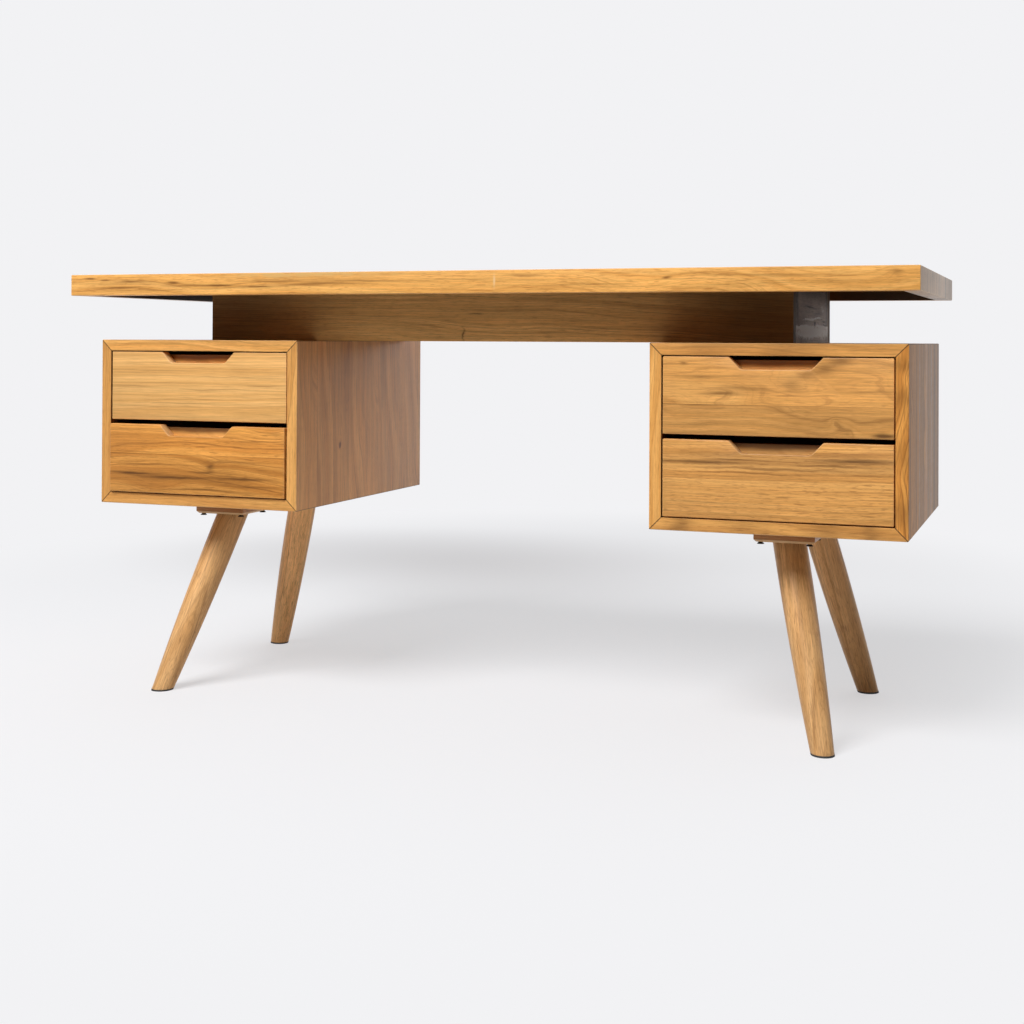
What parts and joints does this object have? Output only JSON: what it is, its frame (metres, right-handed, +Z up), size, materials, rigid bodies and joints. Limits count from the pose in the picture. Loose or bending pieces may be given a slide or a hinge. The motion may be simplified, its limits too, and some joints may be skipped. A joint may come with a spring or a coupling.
{
  "type": "desk with drawers",
  "caption": "Wooden writing desk: a floating mitred top on a riser frame, drawer pedestals with notched finger pulls, and splayed, tapered round legs.",
  "frame": {"origin": "on the floor, under the middle of the top", "axes": "+X along the width to the sitter's right, +Y from the sitter to the back, +Z up"},
  "size_m": [1.51, 0.61, 0.76],
  "materials": {
    "top_wood": "oiled open-grained hardwood, satin",
    "riser_wood": "oiled open-grained hardwood, satin",
    "carcase_wood": "oiled open-grained hardwood, satin",
    "drawer_front_wood": "oiled open-grained hardwood, satin",
    "drawer_box_wood": "planed, unfinished",
    "inner_wood": "planed, unfinished",
    "leg_wood": "oiled open-grained hardwood, satin",
    "plate_wood": "oiled open-grained hardwood, satin",
    "black_rubber": "matt",
    "black_steel": "black phosphated",
    "zinc_steel": "zinc plated"
  },
  "bodies": {
    "carcase": {"top_panel": "top_wood", "top_front_edge": "top_wood", "top_back_edge": "top_wood", "top_left_edge": "top_wood", "top_right_edge": "top_wood", "riser_front_rail": "riser_wood", "riser_back_rail": "riser_wood", "riser_left_end": "riser_wood", "riser_right_end": "riser_wood", "riser_corner_blocks": "inner_wood", "riser_screws": "black_steel", "left_pedestal_top": "carcase_wood", "left_pedestal_bottom": "carcase_wood", "left_pedestal_outer_side": "carcase_wood", "left_pedestal_inner_side": "carcase_wood", "left_pedestal_back": "carcase_wood", "left_drawer_runners": "inner_wood", "right_pedestal_top": "carcase_wood", "right_pedestal_bottom": "carcase_wood", "right_pedestal_outer_side": "carcase_wood", "right_pedestal_inner_side": "carcase_wood", "right_pedestal_back": "carcase_wood", "right_drawer_runners": "inner_wood", "front_left_leg": "leg_wood", "front_left_leg_plate": "plate_wood", "front_right_leg": "leg_wood", "front_right_leg_plate": "plate_wood", "rear_left_leg": "leg_wood", "rear_left_leg_plate": "plate_wood", "rear_right_leg": "leg_wood", "rear_right_leg_plate": "plate_wood", "foot_pads": "black_rubber", "plate_screws": "black_steel", "leg_bolts": "zinc_steel"},
    "upper_left_drawer": {"upper_left_drawer_front": "drawer_front_wood", "upper_left_drawer_inner_front": "drawer_box_wood", "upper_left_drawer_left_side": "drawer_box_wood", "upper_left_drawer_right_side": "drawer_box_wood", "upper_left_drawer_back": "drawer_box_wood", "upper_left_drawer_bottom": "drawer_box_wood"},
    "lower_left_drawer": {"lower_left_drawer_front": "drawer_front_wood", "lower_left_drawer_inner_front": "drawer_box_wood", "lower_left_drawer_left_side": "drawer_box_wood", "lower_left_drawer_right_side": "drawer_box_wood", "lower_left_drawer_back": "drawer_box_wood", "lower_left_drawer_bottom": "drawer_box_wood"},
    "upper_right_drawer": {"upper_right_drawer_front": "drawer_front_wood", "upper_right_drawer_inner_front": "drawer_box_wood", "upper_right_drawer_left_side": "drawer_box_wood", "upper_right_drawer_right_side": "drawer_box_wood", "upper_right_drawer_back": "drawer_box_wood", "upper_right_drawer_bottom": "drawer_box_wood"},
    "lower_right_drawer": {"lower_right_drawer_front": "drawer_front_wood", "lower_right_drawer_inner_front": "drawer_box_wood", "lower_right_drawer_left_side": "drawer_box_wood", "lower_right_drawer_right_side": "drawer_box_wood", "lower_right_drawer_back": "drawer_box_wood", "lower_right_drawer_bottom": "drawer_box_wood"}
  },
  "joints": [
    {"name": "upper_left_drawer_slide", "type": "slide", "parent": "carcase", "child": "upper_left_drawer", "axis": [0, -1, 0], "range_m": [0, 0.33]},
    {"name": "lower_left_drawer_slide", "type": "slide", "parent": "carcase", "child": "lower_left_drawer", "axis": [0, -1, 0], "range_m": [-0.006, 0.324]},
    {"name": "upper_right_drawer_slide", "type": "slide", "parent": "carcase", "child": "upper_right_drawer", "axis": [0, -1, 0], "range_m": [0, 0.33]},
    {"name": "lower_right_drawer_slide", "type": "slide", "parent": "carcase", "child": "lower_right_drawer", "axis": [0, -1, 0], "range_m": [0, 0.33]}
  ]
}
